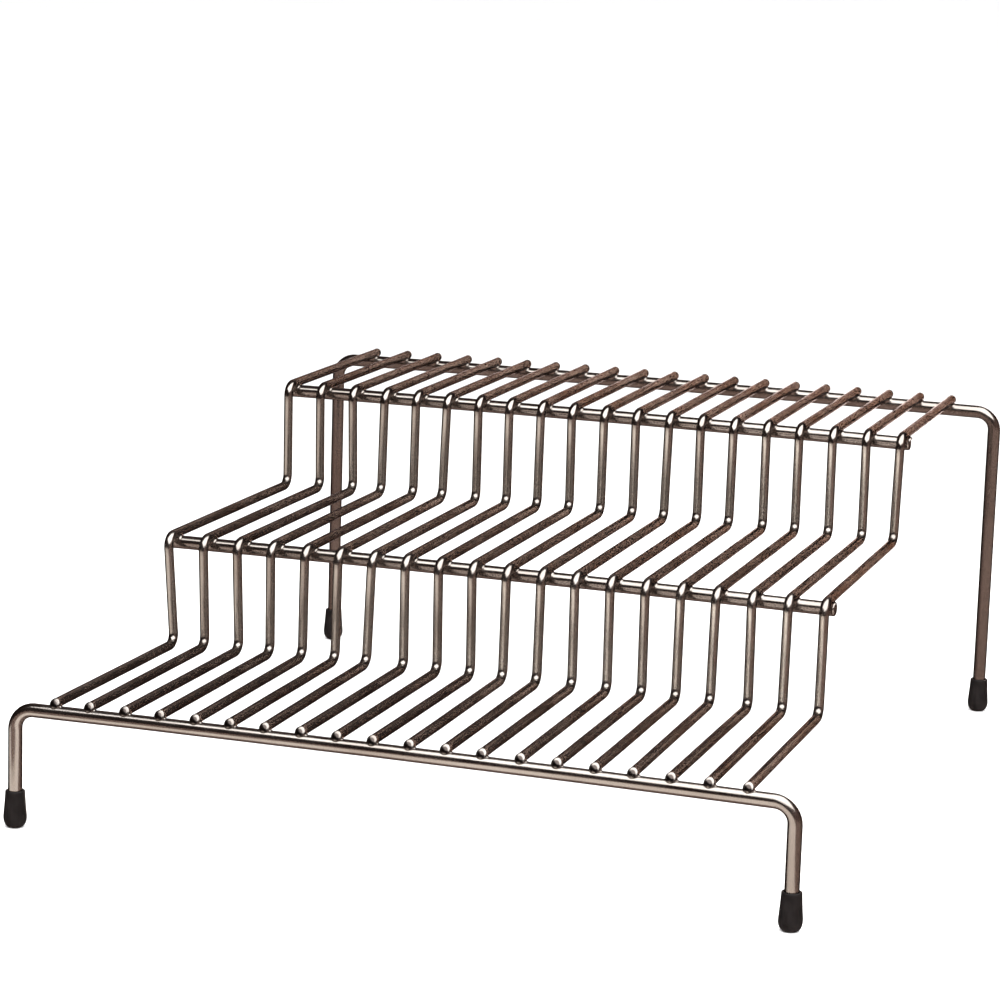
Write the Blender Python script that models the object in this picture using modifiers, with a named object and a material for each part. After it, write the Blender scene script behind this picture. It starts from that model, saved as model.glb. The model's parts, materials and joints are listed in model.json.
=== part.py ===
"""Three-tier shelf riser of welded round wire, standing on four rubber foot caps.

Twenty step wires, each bent into three treads and two risers, lie on a front leg frame, two
crossbars and a rear leg frame. Units are metres. +X is to the right, +Y to the back and +Z up.
The origin is the centre of the footprint, on the surface that the riser stands on.
"""

import math

import bpy
from mathutils import Matrix, Vector

MM = 0.001

# Wire stock, and the gap that each piece keeps to the piece it touches
STEP_WIRE_R = 1.6 * MM
FRAME_WIRE_R = 2.28 * MM
GAP = 0.3 * MM

# Step wires: how many, how far apart, and the heights and depths of the centreline
STEP_WIRES = 20
PITCH = 11.7 * MM
LOWER_TREAD_Z = 41.5 * MM
RISER_HEIGHT = 36.4 * MM
LOWER_DEPTH = 88.0 * MM
MIDDLE_DEPTH = 104.0 * MM
UPPER_DEPTH = 86.0 * MM
FRONT_OVERHANG = 1.0 * MM
REAR_OVERHANG = 4.5 * MM
STEP_BEND_R = 4.0 * MM

# Leg frames: half the distance between a frame's two legs, and its corner bends
FRONT_HALF_SPAN = 125.5 * MM
REAR_HALF_SPAN = 128.0 * MM
LEG_BEND_R = 6.5 * MM

# Crossbars: how far behind the riser they lie, and how far past the outer step wires they reach
BAR_SETBACK = 7.0 * MM
BAR_OVERHANG = 1.6 * MM

# Foot caps: outer form, then the blind bore that holds the leg
CAP_HEIGHT = 12.0 * MM
CAP_RIM_R = 3.1 * MM
CAP_RIM_ROUND = 0.2 * MM
CAP_WIDEST_R = 3.75 * MM
CAP_WIDEST_Z = 3.2 * MM
CAP_REST_R = 1.5 * MM
CAP_FLOOR = 3.0 * MM
CAP_BORE_R = FRAME_WIRE_R + GAP

# Facets: segments in a bend, round a cap and down its rounded toe, and curve bevel resolutions
BEND_STEPS = 5
CAP_STEPS = 20
TOE_STEPS = 4
STEP_WIRE_BEVEL = 2
FRAME_WIRE_BEVEL = 4

# Places that follow from the values above
DEPTH_OVERALL = CAP_WIDEST_R + LOWER_DEPTH + MIDDLE_DEPTH + UPPER_DEPTH + REAR_OVERHANG
FRONT_RAIL_Y = CAP_WIDEST_R - DEPTH_OVERALL / 2
LOWER_RISER_Y = FRONT_RAIL_Y + LOWER_DEPTH
UPPER_RISER_Y = LOWER_RISER_Y + MIDDLE_DEPTH
REAR_RAIL_Y = UPPER_RISER_Y + UPPER_DEPTH
MIDDLE_TREAD_Z = LOWER_TREAD_Z + RISER_HEIGHT
UPPER_TREAD_Z = MIDDLE_TREAD_Z + RISER_HEIGHT
AXIS_DROP = STEP_WIRE_R + GAP + FRAME_WIRE_R
OUTER_WIRE_X = PITCH * (STEP_WIRES - 1) / 2

PLATING = {"color": (0.25, 0.225, 0.205, 1.0), "metallic": 1.0, "roughness": 0.22}
RUBBER = {"color": (0.022, 0.020, 0.019, 1.0), "metallic": 0.0, "roughness": 0.62}


def clear_scene():
    for old in list(bpy.data.objects):
        bpy.data.objects.remove(old, do_unlink=True)


def new_collection(name):
    collection = bpy.data.collections.new(name)
    bpy.context.scene.collection.children.link(collection)
    return collection


def new_material(name, finish):
    material = bpy.data.materials.new(name)
    material.use_nodes = True
    shader = material.node_tree.nodes["Principled BSDF"]
    shader.inputs["Base Color"].default_value = finish["color"]
    shader.inputs["Metallic"].default_value = finish["metallic"]
    shader.inputs["Roughness"].default_value = finish["roughness"]
    return material


def place(name, data, location, collection):
    piece = bpy.data.objects.new(name, data)
    piece.location = location
    collection.objects.link(piece)
    return piece


def bend(before, corner, after, radius):
    """Points of the arc that rounds the corner between two straight runs."""
    back = (before - corner).normalized()
    ahead = (after - corner).normalized()
    half_angle = back.angle(ahead) / 2
    centre = corner + (back + ahead).normalized() * radius / math.sin(half_angle)
    first_spoke = corner + back * radius / math.tan(half_angle) - centre
    axis = ahead.cross(back)
    angles = [(math.pi - 2 * half_angle) * step / BEND_STEPS for step in range(BEND_STEPS + 1)]
    return [centre + Matrix.Rotation(angle, 3, axis) @ first_spoke for angle in angles]


def bent_path(corners, radius):
    """The centreline of a bent wire: straight runs joined by arcs."""
    points = [corners[0]]
    for before, corner, after in zip(corners, corners[1:], corners[2:]):
        points += bend(before, corner, after, radius)
    points.append(corners[-1])
    return points


def wire_curve(name, points, radius, bevel_resolution):
    curve = bpy.data.curves.new(name, "CURVE")
    curve.dimensions = "3D"
    curve.bevel_depth = radius
    curve.bevel_resolution = bevel_resolution
    curve.render_resolution_u = 0
    curve.use_fill_caps = True
    spline = curve.splines.new("POLY")
    spline.points.add(len(points) - 1)
    for control, point in zip(spline.points, points):
        control.co = (*point, 1.0)
    spline.use_smooth = True
    return curve


def add_step_wires(collection):
    """One bent wire, repeated side by side."""
    corners = [
        Vector((0, FRONT_RAIL_Y - FRONT_OVERHANG, LOWER_TREAD_Z)),
        Vector((0, LOWER_RISER_Y, LOWER_TREAD_Z)),
        Vector((0, LOWER_RISER_Y, MIDDLE_TREAD_Z)),
        Vector((0, UPPER_RISER_Y, MIDDLE_TREAD_Z)),
        Vector((0, UPPER_RISER_Y, UPPER_TREAD_Z)),
        Vector((0, REAR_RAIL_Y + REAR_OVERHANG, UPPER_TREAD_Z)),
    ]
    path = bent_path(corners, STEP_BEND_R)
    curve = wire_curve("step_wire", path, STEP_WIRE_R, STEP_WIRE_BEVEL)
    curve.materials.append(new_material("step_wire_plating", PLATING))
    for index in range(STEP_WIRES):
        x = index * PITCH - OUTER_WIRE_X
        place(f"step_wire_{index + 1:02d}", curve, (x, 0, 0), collection)


def add_leg_frame(name, half_span, y, rail_z, collection):
    """A rail with a leg at each end, in one bent wire. The legs end inside the foot caps."""
    leg_end_z = CAP_FLOOR + GAP
    corners = [
        Vector((-half_span, 0, leg_end_z)),
        Vector((-half_span, 0, rail_z)),
        Vector((half_span, 0, rail_z)),
        Vector((half_span, 0, leg_end_z)),
    ]
    path = bent_path(corners, LEG_BEND_R)
    curve = wire_curve(name, path, FRAME_WIRE_R, FRAME_WIRE_BEVEL)
    curve.materials.append(new_material(name + "_plating", PLATING))
    place(name, curve, (0, y, 0), collection)


def add_crossbar(name, riser_y, tread_z, collection):
    """A straight bar under a tread, just behind the riser that comes up to it."""
    half_length = OUTER_WIRE_X + BAR_OVERHANG
    ends = [Vector((-half_length, 0, 0)), Vector((half_length, 0, 0))]
    curve = wire_curve(name, ends, FRAME_WIRE_R, FRAME_WIRE_BEVEL)
    curve.materials.append(new_material(name + "_plating", PLATING))
    place(name, curve, (0, riser_y + BAR_SETBACK, tread_z - AXIS_DROP), collection)


def foot_cap_profile():
    """Radius and height: along the bore's floor, up the bore, over the rim, down to the rest face."""
    profile = [
        (0, CAP_FLOOR),
        (CAP_BORE_R, CAP_FLOOR),
        (CAP_BORE_R, CAP_HEIGHT),
        (CAP_RIM_R - CAP_RIM_ROUND, CAP_HEIGHT),
        (CAP_RIM_R, CAP_HEIGHT - CAP_RIM_ROUND),
    ]
    toe_width = CAP_WIDEST_R - CAP_REST_R
    for step in range(TOE_STEPS + 1):
        angle = math.pi / 2 * step / TOE_STEPS
        radius = CAP_REST_R + toe_width * math.cos(angle)
        profile.append((radius, CAP_WIDEST_Z * (1 - math.sin(angle))))
    profile.append((0, 0))
    return profile


def add_foot_caps(collection):
    """A turned rubber cap, with a blind bore for the leg, under each of the four legs."""
    profile = foot_cap_profile()
    mesh = bpy.data.meshes.new("foot_cap")
    points = [(radius, 0, z) for radius, z in profile]
    mesh.from_pydata(points, [(index, index + 1) for index in range(len(points) - 1)], [])
    mesh.materials.append(new_material("foot_cap_rubber", RUBBER))
    for end, half_span, y in (
        ("front", FRONT_HALF_SPAN, FRONT_RAIL_Y),
        ("rear", REAR_HALF_SPAN, REAR_RAIL_Y),
    ):
        for side, x in (("left", -half_span), ("right", half_span)):
            cap = place(f"foot_cap_{end}_{side}", mesh, (x, y, 0), collection)
            turn = cap.modifiers.new("turn", "SCREW")
            turn.steps = CAP_STEPS
            turn.render_steps = CAP_STEPS
            turn.use_merge_vertices = True
            turn.merge_threshold = 0.01 * MM
            turn.use_smooth_shade = True


def main():
    clear_scene()
    collection = new_collection("tiered_shelf_riser")
    add_step_wires(collection)
    front_rail_z = LOWER_TREAD_Z - AXIS_DROP
    rear_rail_z = UPPER_TREAD_Z - AXIS_DROP
    add_leg_frame("front_leg_frame", FRONT_HALF_SPAN, FRONT_RAIL_Y, front_rail_z, collection)
    add_leg_frame("rear_leg_frame", REAR_HALF_SPAN, REAR_RAIL_Y, rear_rail_z, collection)
    add_crossbar("middle_crossbar", LOWER_RISER_Y, MIDDLE_TREAD_Z, collection)
    add_crossbar("top_crossbar", UPPER_RISER_Y, UPPER_TREAD_Z, collection)
    add_foot_caps(collection)


main()
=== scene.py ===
"""The look of a three-tier shelf riser: dark plated wire, spot-welded, on four rubber foot caps.

Each wire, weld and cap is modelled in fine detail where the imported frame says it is. Units are
metres, +X is to the right, +Y to the back and +Z up.
"""

import json
import math
import random

import bmesh
import bpy
from mathutils import Matrix, Vector, noise

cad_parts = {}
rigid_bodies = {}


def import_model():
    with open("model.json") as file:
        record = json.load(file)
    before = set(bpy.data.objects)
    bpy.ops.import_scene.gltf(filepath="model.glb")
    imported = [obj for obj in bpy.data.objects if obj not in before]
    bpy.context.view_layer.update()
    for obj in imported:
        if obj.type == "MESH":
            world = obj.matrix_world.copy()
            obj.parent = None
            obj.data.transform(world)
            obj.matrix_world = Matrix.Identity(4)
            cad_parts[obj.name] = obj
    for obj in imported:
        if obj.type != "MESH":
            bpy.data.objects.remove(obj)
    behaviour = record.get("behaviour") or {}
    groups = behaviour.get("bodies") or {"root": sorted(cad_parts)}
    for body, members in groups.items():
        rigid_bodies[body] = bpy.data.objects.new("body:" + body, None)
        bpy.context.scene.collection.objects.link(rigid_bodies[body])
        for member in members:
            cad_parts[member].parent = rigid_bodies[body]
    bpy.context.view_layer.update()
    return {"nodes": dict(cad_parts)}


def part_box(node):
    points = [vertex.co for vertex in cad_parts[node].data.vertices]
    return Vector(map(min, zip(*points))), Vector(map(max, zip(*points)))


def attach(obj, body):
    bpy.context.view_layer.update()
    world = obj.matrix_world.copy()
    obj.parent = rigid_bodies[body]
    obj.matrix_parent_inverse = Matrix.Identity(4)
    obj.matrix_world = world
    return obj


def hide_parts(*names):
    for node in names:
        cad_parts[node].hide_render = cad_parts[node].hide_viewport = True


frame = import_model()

MM = 0.001

STEP_WIRES = [name for name in sorted(frame["nodes"]) if name.startswith("step_wire")]

# Wire work: bends of the centrelines, how the wires meet, and how finely they are meshed
STEP_BEND_R = 4.0 * MM
LEG_BEND_R = 6.5 * MM
BAR_SETBACK = 7.0 * MM
WELD_SINK = 0.88 * MM
BEND_STEPS = 10
BEND_SQUASH = 0.05
BEND_WIDENING = 0.4
RUN_STEP = 3.0 * MM
STEP_WIRE_SIDES = 20
FRAME_WIRE_SIDES = 28
SHARP_ANGLE = 60

# Hand-made irregularity: sideways error of each wire where it is welded and where it is free, the
# straight stock's waviness, how far apart the wires lie in its noise, and how far the welded rack
# springs upward in its middle
WELD_ERROR = 0.12 * MM
BEND_ERROR = 0.40 * MM
WAVE_HEIGHT = 0.05 * MM
WAVE_LENGTH = 22.0 * MM
WAVE_SEED_STEP = 7.31
BOW = 0.6 * MM

# Seeds: the noise module's own, which it otherwise takes from the clock, the step wires' random
# errors, and the frames' and crossbars' places in the wave noise
NOISE_SEED = 1
STEP_WIRE_SEED = 100
LEG_FRAME_SEED = 40
CROSSBAR_SEED = 60

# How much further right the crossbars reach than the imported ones
BAR_PROUD = 0.6 * MM

# How far the left-hand wires fan outward, beyond which x, how steeply, and the share of it that each
# corner of a wire takes
SPREAD = 2.5 * MM
SPREAD_FROM_X = -60 * MM
SPREAD_CURVE = 1.5
SPREAD_AT_CORNERS = (0.2, 0.1, 1.0, 0.65, 1.0, 1.0)

# Sheared front ends: the cut face leans back and bulges, and the shears leave the end swollen
FRONT_CUT_SLANT = 0.5
FRONT_CUT_SWELL = 0.06
FRONT_CUT_DOME = 0.40 * MM
FRONT_CUT_ROUND = 0.35 * MM

# The other ends, tumbled rounder: step wires at the rear, legs, and crossbars with dished ends
REAR_CUT_ROUND = 0.75 * MM
REAR_CUT_SWELL = 0.04
LEG_CUT_ROUND = 0.4 * MM
BAR_CUT_ROUND = 0.70 * MM
BAR_CUT_DISH = 0.90 * MM

# A cut end's rounding in steps, the swelling's run-out along the side, and then the cut face, as
# shares of its radius and of its dish
CUT_STEPS = 5
CUT_RUN_OUT = 0.5 * MM
CUT_RUN_OUT_SWELL = 0.3
CUT_FACE_DISH = ((0.85, 0.15), (0.55, 0.70), (0.20, 1.00))

# Weld fillets: rolling-ball radius and placing error in mm, mesh steps, how far the outer edges are
# sunk, and how far the front rail's welds stand past the cut ends and are pressed back to them
WELD_BALL = (0.55, 0.85)
WELD_PLACING = 0.05
WELD_STEPS_AROUND = 28
WELD_STEPS_ACROSS = 6
WELD_EDGE_SINK = 1.06
WELD_END_ROOM = 0.4 * MM
WELD_END_PRESSED = 0.25 * MM

# Welds have no stock of their own: theirs lies beside the wire's, clear of its cut faces and their
# painted shade
WELD_STOCK = Vector((10 * MM, 0, 0))

# Foot caps: the form from wall to toe, the bore with its extra rings (above the floor and below the
# rim), and how finely they are meshed and fluted
CAP_WALL = 0.85 * MM
CAP_FLOOR = 3.0 * MM
CAP_WIDEST_Z = 3.4 * MM
CAP_REST_R = 1.5 * MM
CAP_RIM_ROUND = 0.35 * MM
CAP_WAIST = 0.10
CAP_TOE_POWER = 0.85
CAP_BORE_GAP = 0.02 * MM
CAP_BORE_RINGS = (0.3 * MM, 1.2 * MM)
CAP_SIDES = 64
CAP_RIM_STEPS = 6
CAP_SIDE_STEPS = 14
CAP_TOE_STEPS = 9
CAP_FLUTES = 16
FLUTE_DEPTH = 0.05 * MM

# Tones as (noise value, colour) stops from dark to light, how the plating darkens where it is seen
# edge-on, the cut faces' painted shade and the shares of a step wire's radius between which it fades
# in, and the middle range of the noise
PLATING_TONES = (
    (0.30, (0.225, 0.198, 0.180)),
    (0.52, (0.260, 0.236, 0.218)),
    (0.72, (0.290, 0.268, 0.250)),
)
PLATING_EDGE_TINT = (0.185, 0.172, 0.172, 1)
CUT_FACE_PAINTED_SHADE = (0.055, 0.046, 0.042, 1)
CUT_FACE_OUTER = 0.80
CUT_FACE_INNER = 0.50
RUBBER_TONES = ((0.35, (0.0040, 0.0028, 0.0028)), (0.65, (0.0100, 0.0075, 0.0072)))
FLOOR_TONES = ((0.3, (0.86, 0.86, 0.86)), (0.7, (0.88, 0.88, 0.88)))
NOISE_MIDDLE = (0.3, 0.7)

# Mix node sockets, by number because their names repeat: A, B and result
MIX_COLOUR = (6, 7, 2)
MIX_VECTOR = (4, 5, 1)

# Camera: millimetres, degrees and metres
LENS = 118.9
SENSOR = 36
CAMERA_AZIMUTH = 18.45
CAMERA_ELEVATION = 11.14
CAMERA_ROLL = 1.775
CAMERA_DISTANCE = 1.1282
CAMERA_ASIDE = -0.0093
CAMERA_ABOVE = 0.0909
CAMERA_TARGET_Y = -0.0044

# The studio for the eye: a floor, a pale room and one softbox (turn in degrees, sizes in metres)
FLOOR_HALF = 12
ROOM_LIGHT = (1.2, 1.2, 1.2)
SOFTBOX_PLACE = (0.32, -0.42, 0.80)
SOFTBOX_TURN = 48
SOFTBOX_WIDTH = 1.3
SOFTBOX_WATTS = 26

# The studio that the plating reflects: a base tone and cards over and under a soft horizon. Each
# card is (azimuth, elevation, full to, gone by, colour), with the angles in degrees. The horizon is
# given as heights on a sphere of radius 1, from all room to all table
GLOW_BEHIND = (180, 2, 11, 26, (4.1, 3.3, 2.95))
TABLE_TONE = (0.060, 0.040, 0.036)
TABLE_CARDS = (
    (30, -15, 45, 130, (0.50, 0.36, 0.31)),
    (205, -40, 16, 40, (0.60, 0.50, 0.46)),
    (0, -90, 20, 60, (0.08, 0.07, 0.065)),
    GLOW_BEHIND,
)
ROOM_TONE = (0.040, 0.026, 0.022)
ROOM_CARDS = (
    (80, 12, 20, 60, (0.20, 0.13, 0.11)),
    (200, 20, 8, 34, (0.60, 0.50, 0.49)),
    GLOW_BEHIND,
)
HORIZON = (0.03, -0.07)

# Light thrown back by the table, as glowing bowls: its elevation, how far it is full and how soft its
# top edge is, in degrees. Then (radius, azimuth, gone by, top, colour) for the crossbars' bowl, and
# (azimuth, gone by, top), colour and radii for those of the step wires
BOUNCE_ELEVATION = -30
BOUNCE_CORE = 14
BOUNCE_EDGE = 3
BAR_BOUNCE = (6, 18, 52, 22, (1.35, 1.28, 1.19))
STEP_BOUNCE = (-26, 60, -3)
STEP_BOUNCE_COLOUR = (2.80, 2.74, 2.49)
STEP_BOWL_RADIUS = 5
STEP_BOWL_GAP = 0.1

# How that light fades over the step wires, in equal groups from left to right
STEP_BOUNCE_SHARES = (0.50, 0.70, 0.88, 1.05)

# The pale board on the table in front of the rack: corners, anticlockwise from its rear left
FRONT_BOARD = (
    (-0.270, -0.155),
    (-0.270, -0.225),
    (-0.160, -0.197),
    (-0.082, -0.222),
    (0.035, -0.400),
    (0.140, -0.550),
    (0.200, -0.520),
    (0.160, -0.155),
)
FRONT_BOARD_Z = 0.5 * MM
FRONT_BOARD_COLOUR = (1.62, 1.58, 1.46)


# ---------------------------------------------------------------- places read from the frame


def middle(node):
    low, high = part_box(node)
    return (low + high) / 2


def places():
    """The wire radii, tread heights, riser depths and rail ends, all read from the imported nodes."""
    low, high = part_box(STEP_WIRES[0])
    frame_low, frame_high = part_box("front_leg_frame")
    rear_low, rear_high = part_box("rear_leg_frame")
    step_r = (high.x - low.x) / 2
    frame_r = (frame_high.y - frame_low.y) / 2
    lower_z = low.z + step_r
    upper_z = high.z - step_r
    return {
        "step_r": step_r,
        "frame_r": frame_r,
        "front_y": low.y,
        "rear_y": high.y,
        "tread_z": (lower_z, (lower_z + upper_z) / 2, upper_z),
        "front_rail_y": (frame_low.y + frame_high.y) / 2,
        "middle_bar_y": middle("middle_crossbar").y,
        "top_bar_y": middle("top_crossbar").y,
        "rear_rail_y": (rear_low.y + rear_high.y) / 2,
        "front_half_span": frame_high.x - frame_r,
        "rear_half_span": rear_high.x - frame_r,
        "leg_end_z": frame_low.z,
        "bar_half_length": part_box("middle_crossbar")[1].x,
        "outer_wire_x": middle(STEP_WIRES[-1]).x,
        "axis_drop": step_r + frame_r - WELD_SINK,
    }


AT = places()


# ---------------------------------------------------------------- wire


def bend(before, corner, after, radius):
    """Points of the arc that rounds a corner, each with how far the bend squashes the section."""
    back = (before - corner).normalized()
    ahead = (after - corner).normalized()
    half_angle = back.angle(ahead) / 2
    centre = corner + (back + ahead).normalized() * radius / math.sin(half_angle)
    first_spoke = corner + back * radius / math.tan(half_angle) - centre
    axis = ahead.cross(back)
    points = []
    for step in range(BEND_STEPS + 1):
        share = step / BEND_STEPS
        turn = Matrix.Rotation((math.pi - 2 * half_angle) * share, 3, axis)
        points.append((centre + turn @ first_spoke, BEND_SQUASH * math.sin(math.pi * share)))
    return points


def bent_path(corners, radius):
    """A bent wire's centreline as (point, squash), with points along its straight runs too."""
    path = [(corners[0], 0.0)]
    turns = [bend(*three, radius) for three in zip(corners, corners[1:], corners[2:])]
    for turn in [*turns, [(corners[-1], 0.0)]]:
        start = path[-1][0]
        run = turn[0][0] - start
        pieces = max(1, round(run.length / RUN_STEP))
        path += [(start + run * piece / pieces, 0.0) for piece in range(1, pieces)]
        path += turn
    return path


def spring(x):
    """How much higher than its ends the rack stands at x, from the strain that welding leaves."""
    share = min(1.0, abs(x) / AT["front_half_span"])
    return BOW * (1 - share * share)


def waver(path, seed):
    """The path with the slight waviness of straightened stock and the rack's upward spring."""
    wavy = []
    for index, (point, squash) in enumerate(path):
        along = index * RUN_STEP / WAVE_LENGTH
        shift = noise.noise_vector(Vector((along, seed * WAVE_SEED_STEP, 0.5))) * WAVE_HEIGHT
        lift = Vector((0, 0, spring(point.x)))
        wavy.append((point + shift + lift, squash))
    return wavy


def cut_end(radius, rounding, dish, swell=0.0):
    """A sheared and tumbled end: (distance back from the end, radius), from the side to the axis.

    The face is dished, or domed where the dish is negative.
    """
    profile = [(rounding + CUT_RUN_OUT, radius * (1 + swell * CUT_RUN_OUT_SWELL))]
    radius *= 1 + swell
    for step in range(CUT_STEPS + 1):
        angle = math.pi / 2 * step / CUT_STEPS
        profile.append(
            (rounding * (1 - math.sin(angle)), radius - rounding * (1 - math.cos(angle)))
        )
    flat = radius - rounding
    return profile + [(dish * depth, flat * reach) for reach, depth in CUT_FACE_DISH]


def ring(bm, centre, tangent, reference, radius, squash, sides, slant=0.0):
    """One round of vertices. The section is squashed across the bend and spread along its axis.

    A slanted ring leans back along the wire, further back at the top.
    """
    side = (reference - tangent * reference.dot(tangent)).normalized()
    up = tangent.cross(side)
    verts = []
    for index in range(sides):
        angle = 2 * math.pi * index / sides
        across = side * math.cos(angle) * (1 + squash * BEND_WIDENING)
        along = up * math.sin(angle) * (1 - squash)
        lean = -tangent * slant * math.sin(angle)
        verts.append(bm.verts.new(centre + (across + along + lean) * radius))
    return verts


def close_with(bm, loop, centre, outward):
    """A fan of triangles from one loop to its middle point, facing the way that outward says."""
    tip = bm.verts.new(centre)
    for first, second in zip(loop, loop[1:] + loop[:1]):
        bm.faces.new((first, second, tip) if outward else (second, first, tip))
    return tip


def skin(bm, loops):
    for lower, upper in zip(loops, loops[1:]):
        count = len(lower)
        for index in range(count):
            after = (index + 1) % count
            bm.faces.new((lower[index], lower[after], upper[after], upper[index]))


def stock_ring(radius, sides, distance):
    """Where the vertices of one round lie in the straight stock."""
    turns = [2 * math.pi * index / sides for index in range(sides)]
    return [(math.cos(turn) * radius, math.sin(turn) * radius, distance) for turn in turns]


def wire_mesh(name, path, radius, reference, sides, start_end, finish_end, slant=0.0):
    """A closed wire along the path, with a cut end at each end. The first cut may be slanted."""
    points = [point for point, _ in path]
    first_way = (points[1] - points[0]).normalized()
    last_way = (points[-1] - points[-2]).normalized()
    rounds = [
        (points[0] + first_way * back, first_way, size, 0.0, back, slant)
        for back, size in reversed(start_end)
    ]
    travelled = 0.0
    for index in range(1, len(points) - 1):
        travelled += (points[index] - points[index - 1]).length
        way = (points[index + 1] - points[index - 1]).normalized()
        rounds.append((points[index], way, radius, path[index][1], travelled, 0.0))
    travelled += (points[-1] - points[-2]).length
    for back, size in finish_end:
        rounds.append((points[-1] - last_way * back, last_way, size, 0.0, travelled - back, 0.0))
    bm = bmesh.new()
    stock = []
    loops = []
    for centre, way, size, squash, distance, lean in rounds:
        loops.append(ring(bm, centre, way, reference, size, squash, sides, lean))
        stock += stock_ring(size, sides, distance)
    skin(bm, loops)
    close_with(bm, loops[0], points[0] + first_way * start_end[-1][0], False)
    close_with(bm, loops[-1], points[-1] - last_way * finish_end[-1][0], True)
    stock.append((0.0, 0.0, 0.0))
    stock.append((0.0, 0.0, travelled))
    return finish_mesh(bm, name, stock)


def finish_mesh(bm, name, stock):
    """The mesh, smooth-shaded, with each vertex's place in the straight stock as an attribute."""
    bmesh.ops.recalc_face_normals(bm, faces=bm.faces)
    mesh = bpy.data.meshes.new(name)
    bm.to_mesh(mesh)
    bm.free()
    mesh.shade_smooth()
    mesh.set_sharp_from_angle(angle=math.radians(SHARP_ANGLE))
    attribute = mesh.attributes.new("stock", "FLOAT_VECTOR", "POINT")
    attribute.data.foreach_set("vector", [value for place in stock for value in place])
    return mesh


def add_piece(name, mesh, material, replaced):
    piece = bpy.data.objects.new(name, mesh)
    bpy.context.scene.collection.objects.link(piece)
    mesh.materials.append(material)
    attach(piece, "root")
    if replaced:
        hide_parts(*replaced)
    return piece


# ---------------------------------------------------------------- step wires


def step_wire_corners(x, rng):
    """The corners of one step wire, with its own small sideways errors."""
    low, mid, high = AT["tread_z"]
    lower_riser_y = AT["middle_bar_y"] - BAR_SETBACK
    upper_riser_y = AT["top_bar_y"] - BAR_SETBACK
    plan = [
        (AT["front_y"], low, WELD_ERROR),
        (lower_riser_y, low, BEND_ERROR),
        (lower_riser_y, mid, WELD_ERROR),
        (upper_riser_y, mid, BEND_ERROR),
        (upper_riser_y, high, WELD_ERROR),
        (AT["rear_y"], high, WELD_ERROR),
    ]
    share_out = (SPREAD_FROM_X - x) / (SPREAD_FROM_X + AT["outer_wire_x"])
    outward = max(0.0, share_out) ** SPREAD_CURVE
    return [
        Vector((x + rng.gauss(0, error) - SPREAD * outward * share, y, z))
        for (y, z, error), share in zip(plan, SPREAD_AT_CORNERS)
    ]


def x_on(start, finish, y):
    """Where a straight run from start to finish crosses the depth y."""
    share = (y - start.y) / (finish.y - start.y)
    return start.x + (finish.x - start.x) * share


def add_step_wires(material):
    """Every step wire, and where each crosses the four bars."""
    crossings = {"front": [], "middle": [], "top": [], "rear": []}
    for index, node in enumerate(STEP_WIRES):
        rng = random.Random(STEP_WIRE_SEED + index)
        corners = step_wire_corners(middle(node).x, rng)
        path = waver(bent_path(corners, STEP_BEND_R), index)
        mesh = wire_mesh(
            f"plated_{node}",
            path,
            AT["step_r"],
            Vector((1, 0, 0)),
            STEP_WIRE_SIDES,
            cut_end(AT["step_r"], FRONT_CUT_ROUND, -FRONT_CUT_DOME, FRONT_CUT_SWELL),
            cut_end(AT["step_r"], REAR_CUT_ROUND, 0.0, REAR_CUT_SWELL),
            FRONT_CUT_SLANT,
        )
        add_piece(f"plated_{node}", mesh, material, [node])
        crossings["front"].append(x_on(*corners[0:2], AT["front_rail_y"]))
        crossings["middle"].append(x_on(*corners[2:4], AT["middle_bar_y"]))
        crossings["top"].append(x_on(*corners[4:6], AT["top_bar_y"]))
        crossings["rear"].append(x_on(*corners[4:6], AT["rear_rail_y"]))
    return crossings


# ---------------------------------------------------------------- leg frames and crossbars


def add_leg_frame(name, half_span, y, rail_z, material):
    corners = [
        Vector((-half_span, y, AT["leg_end_z"])),
        Vector((-half_span, y, rail_z)),
        Vector((half_span, y, rail_z)),
        Vector((half_span, y, AT["leg_end_z"])),
    ]
    path = waver(bent_path(corners, LEG_BEND_R), LEG_FRAME_SEED + rail_z / MM)
    end = cut_end(AT["frame_r"], LEG_CUT_ROUND, 0.0)
    mesh = wire_mesh(
        f"plated_{name}", path, AT["frame_r"], Vector((0, 1, 0)), FRAME_WIRE_SIDES, end, end
    )
    return add_piece(f"plated_{name}", mesh, material, [name])


def add_crossbar(name, y, z, material):
    half = AT["bar_half_length"]
    corners = [Vector((-half - SPREAD, y, z)), Vector((half + BAR_PROUD, y, z))]
    path = waver(bent_path(corners, 0), CROSSBAR_SEED + z / MM)
    end = cut_end(AT["frame_r"], BAR_CUT_ROUND, BAR_CUT_DISH)
    mesh = wire_mesh(
        f"plated_{name}", path, AT["frame_r"], Vector((0, 1, 0)), FRAME_WIRE_SIDES, end, end
    )
    return add_piece(f"plated_{name}", mesh, material, [name])


# ---------------------------------------------------------------- welds


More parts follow.
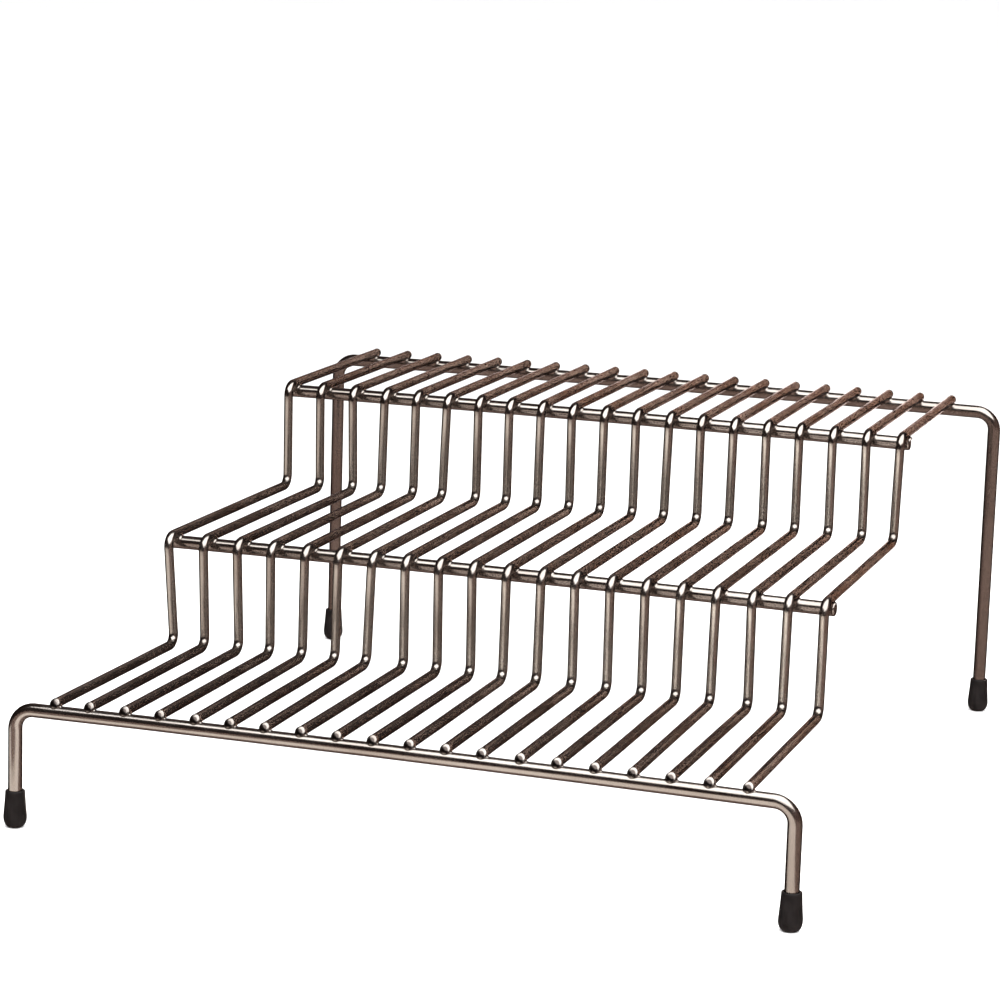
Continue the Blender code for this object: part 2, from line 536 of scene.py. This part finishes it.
def weld_loops(ball, around, across):
    """Loops of the fillet that a ball rolled round the crossing of two round wires would leave.

    The crossing's origin is on the bar's axis. The bar lies along X there, and the step wire along
    Y, axis_drop above it. Both outer loops are sunk slightly into the metal.
    """
    step_r, frame_r, rise = AT["step_r"], AT["frame_r"], AT["axis_drop"]
    lowest = rise - step_r - ball
    highest = frame_r + ball
    loops = [[] for _ in range(across + 1)]
    for index in range(around):
        turn = 2 * math.pi * (index + 0.5) / around
        z = lowest + (highest - lowest) * math.cos(turn) ** 2
        x = math.copysign(math.sqrt(max(0, (step_r + ball) ** 2 - (z - rise) ** 2)), math.cos(turn))
        y = math.copysign(math.sqrt(max(0, highest**2 - z * z)), math.sin(turn))
        centre = Vector((x, y, z))
        to_wire = (Vector((0, y, rise)) - centre).normalized()
        to_bar = (Vector((x, 0, 0)) - centre).normalized()
        for step in range(across + 1):
            share = step / across
            sunk = ball * WELD_EDGE_SINK if step in (0, across) else ball
            loops[step].append(centre + to_wire.slerp(to_bar, share) * sunk)
    return loops


def add_weld(bm, stock, place, rng, wire_end_y):
    """One closed weld nugget. Past the wire's own end it is pressed back to the cut face."""
    loops = weld_loops(rng.uniform(*WELD_BALL) * MM, WELD_STEPS_AROUND, WELD_STEPS_ACROSS)
    lean = Vector((rng.gauss(0, WELD_PLACING), rng.gauss(0, WELD_PLACING), 0)) * MM
    rings = []
    for loop in loops:
        verts = []
        for point in loop:
            spot = point + lean
            if wire_end_y is not None and spot.y < wire_end_y:
                spot.y = wire_end_y - math.tanh((wire_end_y - spot.y) / MM) * WELD_END_PRESSED
            verts.append(bm.verts.new(place + spot))
            stock.append(tuple(spot + WELD_STOCK))
        rings.append(verts)
    skin(bm, rings)
    inside_wire = Vector((0, 0, AT["axis_drop"] - AT["step_r"] * 0.5))
    inside_bar = Vector((0, 0, AT["frame_r"] * 0.5))
    close_with(bm, rings[0], place + inside_wire, False)
    close_with(bm, rings[-1], place + inside_bar, True)
    stock.append(tuple(inside_wire + WELD_STOCK))
    stock.append(tuple(inside_bar + WELD_STOCK))


def add_welds(name, xs, y, z, seed, material, wire_end_y=None):
    """The welds of one bar, as one piece made of closed nuggets."""
    bm = bmesh.new()
    stock = []
    rng = random.Random(seed)
    for x in xs:
        add_weld(bm, stock, Vector((x, y, z + spring(x))), rng, wire_end_y)
    mesh = finish_mesh(bm, name, stock)
    return add_piece(name, mesh, material, [])


# ---------------------------------------------------------------- foot caps


def cap_profile(height, rim_r, widest_r, bore_r):
    """(radius, height, flute share) from the bore's floor, over the rim, down to the rest face."""
    profile = [
        (bore_r * 0.5, CAP_FLOOR, 0),
        (bore_r, CAP_FLOOR, 0),
        (bore_r, CAP_FLOOR + CAP_BORE_RINGS[0], 0),
        (bore_r, height - CAP_BORE_RINGS[1], 0),
        (bore_r, height - CAP_RIM_ROUND, 0),
    ]
    half_wall = (rim_r - bore_r) / 2
    for step in range(1, CAP_RIM_STEPS + 1):
        angle = math.pi * step / CAP_RIM_STEPS
        radius = bore_r + half_wall * (1 - math.cos(angle))
        profile.append((radius, height - CAP_RIM_ROUND * (1 - math.sin(angle)), 0))
    side_top = height - CAP_RIM_ROUND
    for step in range(1, CAP_SIDE_STEPS):
        share = step / CAP_SIDE_STEPS
        swell = share - CAP_WAIST * math.sin(math.pi * share) * (1 - share)
        radius = rim_r + (widest_r - rim_r) * swell
        profile.append((radius, side_top + (CAP_WIDEST_Z - side_top) * share, share))
    toe_width = widest_r - CAP_REST_R
    for step in range(CAP_TOE_STEPS + 1):
        angle = math.pi / 2 * step / CAP_TOE_STEPS
        radius = CAP_REST_R + toe_width * math.cos(angle) ** CAP_TOE_POWER
        profile.append((radius, CAP_WIDEST_Z * (1 - math.sin(angle)), math.cos(angle)))
    profile.append((CAP_REST_R * 0.5, 0.0, 0))
    return profile


def add_foot_cap(node, material):
    """A moulded cap: tapered, with faint flutes on its lower half and a soft rounded toe."""
    low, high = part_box(node)
    centre = (low + high) / 2
    widest_r = (high.x - low.x) / 2
    rim_r = AT["frame_r"] + CAP_WALL
    bm = bmesh.new()
    stock = []
    loops = []
    bore_r = AT["frame_r"] + CAP_BORE_GAP
    for radius, z, fluted in cap_profile(high.z, rim_r, widest_r - FLUTE_DEPTH, bore_r):
        verts = []
        for index in range(CAP_SIDES):
            angle = 2 * math.pi * index / CAP_SIDES
            flute = FLUTE_DEPTH * fluted * math.cos(CAP_FLUTES * angle)
            reach = radius + flute
            place = Vector((math.cos(angle) * reach, math.sin(angle) * reach, z))
            verts.append(bm.verts.new(Vector((centre.x, centre.y, 0)) + place))
            stock.append(tuple(place))
        loops.append(verts)
    skin(bm, loops)
    close_with(bm, loops[0], Vector((centre.x, centre.y, CAP_FLOOR)), False)
    close_with(bm, loops[-1], Vector((centre.x, centre.y, 0)), True)
    stock.append((0, 0, CAP_FLOOR))
    stock.append((0, 0, 0))
    mesh = finish_mesh(bm, f"rubber_{node}", stock)
    return add_piece(f"rubber_{node}", mesh, material, [node])


# ---------------------------------------------------------------- materials


def new_tree(name):
    material = bpy.data.materials.new(name)
    material.use_nodes = True
    tree = material.node_tree
    return material, tree, tree.nodes["Principled BSDF"]


def stock_place(tree):
    place = tree.nodes.new("ShaderNodeAttribute")
    place.attribute_name = "stock"
    return place.outputs["Vector"]


def stock_noise(tree, stretch, scale, detail):
    """Noise laid on the straight stock, and stretched along it where stretch is below 1."""
    mapping = tree.nodes.new("ShaderNodeMapping")
    mapping.inputs["Scale"].default_value = (1, 1, stretch)
    texture = tree.nodes.new("ShaderNodeTexNoise")
    texture.inputs["Scale"].default_value = scale
    texture.inputs["Detail"].default_value = detail
    tree.links.new(stock_place(tree), mapping.inputs["Vector"])
    tree.links.new(mapping.outputs["Vector"], texture.inputs["Vector"])
    return texture.outputs["Fac"]


def object_noise(tree, scale, detail):
    """Noise laid through the whole rack, so that neighbouring pieces differ."""
    place = tree.nodes.new("ShaderNodeTexCoord")
    texture = tree.nodes.new("ShaderNodeTexNoise")
    texture.inputs["Scale"].default_value = scale
    texture.inputs["Detail"].default_value = detail
    tree.links.new(place.outputs["Object"], texture.inputs["Vector"])
    return texture.outputs["Fac"]


def ramp(tree, factor, stops):
    """A colour that follows the factor through (position, colour) stops."""
    node = tree.nodes.new("ShaderNodeValToRGB")
    elements = node.color_ramp.elements
    while len(elements) < len(stops):
        elements.new(0.5)
    for element, (position, colour) in zip(elements, stops):
        element.position = position
        element.color = (*colour, 1)
    tree.links.new(factor, node.inputs["Fac"])
    return node.outputs["Color"]


def spread(tree, factor, low, high):
    """The noise's middle range spread from low to high."""
    node = tree.nodes.new("ShaderNodeMapRange")
    node.inputs["From Min"].default_value = NOISE_MIDDLE[0]
    node.inputs["From Max"].default_value = NOISE_MIDDLE[1]
    node.inputs["To Min"].default_value = low
    node.inputs["To Max"].default_value = high
    tree.links.new(factor, node.inputs["Value"])
    return node.outputs["Result"]


def sum_of(tree, first, second):
    node = tree.nodes.new("ShaderNodeMath")
    node.operation = "ADD"
    tree.links.new(first, node.inputs[0])
    tree.links.new(second, node.inputs[1])
    return node.outputs["Value"]


def bump(tree, shader, height, strength, distance):
    node = tree.nodes.new("ShaderNodeBump")
    node.inputs["Strength"].default_value = strength
    node.inputs["Distance"].default_value = distance
    tree.links.new(height, node.inputs["Height"])
    tree.links.new(node.outputs["Normal"], shader.inputs["Normal"])


def cut_face_shade_mask(tree):
    """1 in the middle of a cut end and 0 on a wire's side, from the distance to the stock's axis: the
    mask of the cut faces' painted shade.
    """
    flat = tree.nodes.new("ShaderNodeVectorMath")
    flat.operation = "MULTIPLY"
    flat.inputs[1].default_value = (1, 1, 0)
    tree.links.new(stock_place(tree), flat.inputs[0])
    reach = tree.nodes.new("ShaderNodeVectorMath")
    reach.operation = "LENGTH"
    tree.links.new(flat.outputs["Vector"], reach.inputs[0])
    edge = tree.nodes.new("ShaderNodeMapRange")
    edge.interpolation_type = "SMOOTHSTEP"
    edge.inputs["From Min"].default_value = AT["step_r"] * CUT_FACE_OUTER
    edge.inputs["From Max"].default_value = AT["step_r"] * CUT_FACE_INNER
    tree.links.new(reach.outputs["Value"], edge.inputs["Value"])
    return edge.outputs["Result"]


def plating_material():
    """Dark bronze plating over drawn wire: a warm, uneven tone, glossy, with faint drawing lines.

    The cut end faces, well inside the stock's radius, are painted duller and darker: painted shade.
    """
    material, tree, shader = new_tree("dark_bronze_plating")
    shader.inputs["Metallic"].default_value = 1.0
    shader.inputs["Specular Tint"].default_value = PLATING_EDGE_TINT
    tone = ramp(tree, object_noise(tree, scale=38, detail=3), PLATING_TONES)
    plain, cut, result = MIX_COLOUR
    # Painted shade: the middles of the cut faces are painted near-black
    shaded_cut = tree.nodes.new("ShaderNodeMix")
    shaded_cut.data_type = "RGBA"
    shaded_cut.inputs[cut].default_value = CUT_FACE_PAINTED_SHADE
    tree.links.new(cut_face_shade_mask(tree), shaded_cut.inputs["Factor"])
    tree.links.new(tone, shaded_cut.inputs[plain])
    tree.links.new(shaded_cut.outputs[result], shader.inputs["Base Color"])
    lines = stock_noise(tree, stretch=0.02, scale=4200, detail=2)
    cloud = stock_noise(tree, stretch=0.5, scale=260, detail=3)
    rough = sum_of(tree, spread(tree, cloud, 0.15, 0.24), spread(tree, lines, -0.02, 0.04))
    tree.links.new(rough, shader.inputs["Roughness"])
    height = sum_of(tree, lines, spread(tree, cloud, 0, 3))
    bump(tree, shader, height, strength=0.35, distance=0.006 * MM)
    return material


def rubber_material():
    """Moulded black rubber: a slightly brown black, matt, finely grained, paler where it scuffs."""
    material, tree, shader = new_tree("moulded_black_rubber")
    shader.inputs["Specular IOR Level"].default_value = 0.22
    grain = stock_noise(tree, stretch=1.0, scale=5200, detail=4)
    patches = stock_noise(tree, stretch=0.6, scale=420, detail=3)
    tree.links.new(ramp(tree, patches, RUBBER_TONES), shader.inputs["Base Color"])
    tree.links.new(spread(tree, patches, 0.48, 0.68), shader.inputs["Roughness"])
    bump(tree, shader, grain, strength=0.45, distance=0.03 * MM)
    return material


def floor_material():
    material, tree, shader = new_tree("pale_studio_sweep")
    tone = ramp(tree, object_noise(tree, scale=3, detail=2), FLOOR_TONES)
    tree.links.new(tone, shader.inputs["Base Color"])
    shader.inputs["Roughness"].default_value = 0.9
    shader.inputs["Specular IOR Level"].default_value = 0.1
    return material


# ---------------------------------------------------------------- studio


def add_floor():
    mesh = bpy.data.meshes.new("studio_floor")
    bm = bmesh.new()
    bmesh.ops.create_grid(bm, x_segments=1, y_segments=1, size=FLOOR_HALF)
    bm.to_mesh(mesh)
    bm.free()
    floor = bpy.data.objects.new("studio_floor", mesh)
    mesh.materials.append(floor_material())
    bpy.context.scene.collection.objects.link(floor)
    floor.visible_glossy = False


def direction(azimuth, elevation):
    """The way to a studio card. Azimuth 0 is in front of the rack and 90 is to its right."""
    a, e = math.radians(azimuth), math.radians(elevation)
    return Vector((math.sin(a) * math.cos(e), -math.cos(a) * math.cos(e), math.sin(e)))


def card(tree, sight, azimuth, elevation, inner, outer, colour):
    """A soft-edged card in the reflected studio: full to inner degrees, gone by outer degrees."""
    nearness = tree.nodes.new("ShaderNodeVectorMath")
    nearness.operation = "DOT_PRODUCT"
    nearness.inputs[1].default_value = direction(azimuth, elevation)
    tree.links.new(sight, nearness.inputs[0])
    edge = tree.nodes.new("ShaderNodeMapRange")
    edge.interpolation_type = "SMOOTHSTEP"
    edge.inputs["From Min"].default_value = math.cos(math.radians(outer))
    edge.inputs["From Max"].default_value = math.cos(math.radians(inner))
    tree.links.new(nearness.outputs["Value"], edge.inputs["Value"])
    glow = tree.nodes.new("ShaderNodeVectorMath")
    glow.operation = "SCALE"
    glow.inputs[0].default_value = colour
    tree.links.new(edge.outputs["Result"], glow.inputs["Scale"])
    return glow.outputs["Vector"]


def add_vectors(tree, first, second):
    node = tree.nodes.new("ShaderNodeVectorMath")
    node.operation = "ADD"
    tree.links.new(first, node.inputs[0])
    tree.links.new(second, node.inputs[1])
    return node.outputs["Vector"]


def half_studio(tree, sight, base, cards):
    """A base tone with its cards added."""
    colour = tree.nodes.new("ShaderNodeCombineXYZ")
    for socket, value in zip(colour.inputs, base):
        socket.default_value = value
    total = colour.outputs["Vector"]
    for spec in cards:
        total = add_vectors(tree, total, card(tree, sight, *spec))
    return total


def mix_vectors(tree, factor, first, second):
    """The mix of two vectors. The first may be a plain value."""
    first_socket, second_socket, result = MIX_VECTOR
    node = tree.nodes.new("ShaderNodeMix")
    node.data_type = "VECTOR"
    tree.links.new(factor, node.inputs["Factor"])
    if isinstance(first, tuple):
        node.inputs[first_socket].default_value = first
    else:
        tree.links.new(first, node.inputs[first_socket])
    tree.links.new(second, node.inputs[second_socket])
    return node.outputs[result]


def height_fade(tree, sight, none_at, full_at):
    """0 to 1 as the height of the way one looks goes from none_at to full_at."""
    split = tree.nodes.new("ShaderNodeSeparateXYZ")
    tree.links.new(sight, split.inputs["Vector"])
    edge = tree.nodes.new("ShaderNodeMapRange")
    edge.interpolation_type = "SMOOTHSTEP"
    edge.inputs["From Min"].default_value = none_at
    edge.inputs["From Max"].default_value = full_at
    tree.links.new(split.outputs["Z"], edge.inputs["Value"])
    return edge.outputs["Result"]


def studio_world():
    """A plain pale room for the eye, and for the plating a table with bright and dark sides."""
    world = bpy.data.worlds.new("studio")
    bpy.context.scene.world = world
    world.use_nodes = True
    tree = world.node_tree
    sight = tree.nodes.new("ShaderNodeTexCoord").outputs["Generated"]
    table = half_studio(tree, sight, TABLE_TONE, TABLE_CARDS)
    room = half_studio(tree, sight, ROOM_TONE, ROOM_CARDS)
    reflected = mix_vectors(tree, height_fade(tree, sight, *HORIZON), room, table)
    rays = tree.nodes.new("ShaderNodeLightPath")
    seen = mix_vectors(tree, rays.outputs["Is Glossy Ray"], ROOM_LIGHT, reflected)
    tree.links.new(seen, tree.nodes["Background"].inputs["Color"])
    world.cycles.sampling_method = "NONE"


def added_light(name):
    """A see-through material that adds light to whatever is behind it."""
    material, tree, shader = new_tree(name)
    tree.nodes.remove(shader)
    emission = tree.nodes.new("ShaderNodeEmission")
    clear = tree.nodes.new("ShaderNodeBsdfTransparent")
    both = tree.nodes.new("ShaderNodeAddShader")
    tree.links.new(emission.outputs["Emission"], both.inputs[0])
    tree.links.new(clear.outputs["BSDF"], both.inputs[1])
    tree.links.new(both.outputs["Shader"], tree.nodes["Material Output"].inputs["Surface"])
    material.cycles.emission_sampling = "NONE"
    return material, tree, emission


def add_reflected_only(name, mesh, material, receivers):
    """Stages a light source that is seen only in the reflections of the receivers."""
    mesh.materials.append(material)
    source = bpy.data.objects.new(name, mesh)
    bpy.context.scene.collection.objects.link(source)
    for way in ("camera", "diffuse", "transmission", "volume_scatter", "shadow"):
        setattr(source, f"visible_{way}", False)
    seen_by = bpy.data.collections.new(f"{name}_receivers")
    for piece in receivers:
        seen_by.objects.link(piece)
    source.light_linking.receiver_collection = seen_by


def add_bounce_bowl(name, receivers, radius, azimuth, outer, top, colour):
    """Light thrown back by the table in front of the rack onto the receivers only.

    It is gone by outer degrees from its middle, and above the elevation given as its top.
    """
    material, tree, emission = added_light(name)
    sight = tree.nodes.new("ShaderNodeVectorMath")
    sight.operation = "NORMALIZE"
    tree.links.new(tree.nodes.new("ShaderNodeTexCoord").outputs["Object"], sight.inputs[0])
    way = sight.outputs["Vector"]
    glow = card(tree, way, azimuth, BOUNCE_ELEVATION, BOUNCE_CORE, outer, colour)
    none_at, full_at = (math.sin(math.radians(top + edge)) for edge in (BOUNCE_EDGE, -BOUNCE_EDGE))
    tree.links.new(glow, emission.inputs["Color"])
    tree.links.new(height_fade(tree, way, none_at, full_at), emission.inputs["Strength"])
    mesh = bpy.data.meshes.new(name)
    bm = bmesh.new()
    bmesh.ops.create_uvsphere(bm, u_segments=48, v_segments=24, radius=radius)
    above = [vert for vert in bm.verts if vert.co.z > radius / 2]
    bmesh.ops.delete(bm, geom=above, context="VERTS")
    bm.to_mesh(mesh)
    bm.free()
    add_reflected_only(name, mesh, material, receivers)


def add_table_board(name, receivers, corners, colour):
    """A pale board lying on the table in front of the rack, reflected by the receivers only."""
    material, _, emission = added_light(name)
    emission.inputs["Color"].default_value = (*colour, 1)
    mesh = bpy.data.meshes.new(name)
    mesh.from_pydata([(x, y, FRONT_BOARD_Z) for x, y in corners], [], [range(len(corners))])
    add_reflected_only(name, mesh, material, receivers)


def add_softbox():
    """A square softbox above the rack's right front, facing straight down."""
    light = bpy.data.lights.new("overhead_softbox", "AREA")
    light.shape = "RECTANGLE"
    light.size = SOFTBOX_WIDTH
    light.size_y = SOFTBOX_WIDTH
    light.energy = SOFTBOX_WATTS
    lamp = bpy.data.objects.new("overhead_softbox", light)
    lamp.location = SOFTBOX_PLACE
    lamp.rotation_euler = (0, 0, math.radians(SOFTBOX_TURN))
    lamp.visible_camera = False
    bpy.context.scene.collection.objects.link(lamp)


def add_camera():
    back = direction(CAMERA_AZIMUTH, CAMERA_ELEVATION)
    level = direction(CAMERA_AZIMUTH + 90, 0)
    roll = math.radians(CAMERA_ROLL)
    right = level * math.cos(roll) + back.cross(level) * math.sin(roll)
    up = back.cross(right)
    target = Vector((0, CAMERA_TARGET_Y, 0))
    place = target + back * CAMERA_DISTANCE + right * CAMERA_ASIDE + up * CAMERA_ABOVE
    data = bpy.data.cameras.new("camera")
    data.lens = LENS
    data.sensor_width = SENSOR
    camera = bpy.data.objects.new("camera", data)
    camera.matrix_world = Matrix.Translation(place) @ Matrix((right, up, back)).transposed().to_4x4()
    bpy.context.scene.collection.objects.link(camera)
    bpy.context.scene.camera = camera


# ---------------------------------------------------------------- the scene


def add_rack():
    """Every visible piece of the rack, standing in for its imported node."""
    plating = plating_material()
    rubber = rubber_material()
    low, mid, high = (z - AT["axis_drop"] for z in AT["tread_z"])
    crossings = add_step_wires(plating)
    add_leg_frame("front_leg_frame", AT["front_half_span"], AT["front_rail_y"], low, plating)
    add_leg_frame("rear_leg_frame", AT["rear_half_span"], AT["rear_rail_y"], high, plating)
    add_crossbar("middle_crossbar", AT["middle_bar_y"], mid, plating)
    add_crossbar("top_crossbar", AT["top_bar_y"], high, plating)
    front_end = AT["front_y"] - AT["front_rail_y"] + WELD_END_ROOM
    add_welds(
        "front_rail_welds", crossings["front"], AT["front_rail_y"], low, 1, plating, front_end
    )
    add_welds("middle_crossbar_welds", crossings["middle"], AT["middle_bar_y"], mid, 2, plating)
    add_welds("top_crossbar_welds", crossings["top"], AT["top_bar_y"], high, 3, plating)
    add_welds("rear_rail_welds", crossings["rear"], AT["rear_rail_y"], high, 4, plating)
    for node in sorted(frame["nodes"]):
        if node.startswith("foot_cap"):
            add_foot_cap(node, rubber)


def light_rack():
    """The sources that only some of the pieces reflect, and the softbox."""
    objects = bpy.context.scene.objects
    front = [objects["plated_front_leg_frame"], objects["front_rail_welds"]]
    bars = [objects["plated_middle_crossbar"], objects["plated_top_crossbar"]]
    steps = [objects[f"plated_{node}"] for node in STEP_WIRES]
    add_table_board("front_board", front, FRONT_BOARD, FRONT_BOARD_COLOUR)
    group_size = len(steps) // len(STEP_BOUNCE_SHARES)
    for index, share in enumerate(STEP_BOUNCE_SHARES):
        group = steps[group_size * index : group_size * (index + 1)]
        radius = STEP_BOWL_RADIUS + STEP_BOWL_GAP * index
        colour = [share * value for value in STEP_BOUNCE_COLOUR]
        add_bounce_bowl(f"step_bounce_card_{index + 1}", group, radius, *STEP_BOUNCE, colour)
    add_bounce_bowl("bar_bounce_card", bars, *BAR_BOUNCE)
    add_softbox()


def main():
    noise.seed_set(NOISE_SEED)
    add_camera()
    add_rack()
    add_floor()
    studio_world()
    light_rack()
    bpy.context.scene.view_settings.view_transform = "Standard"


main()
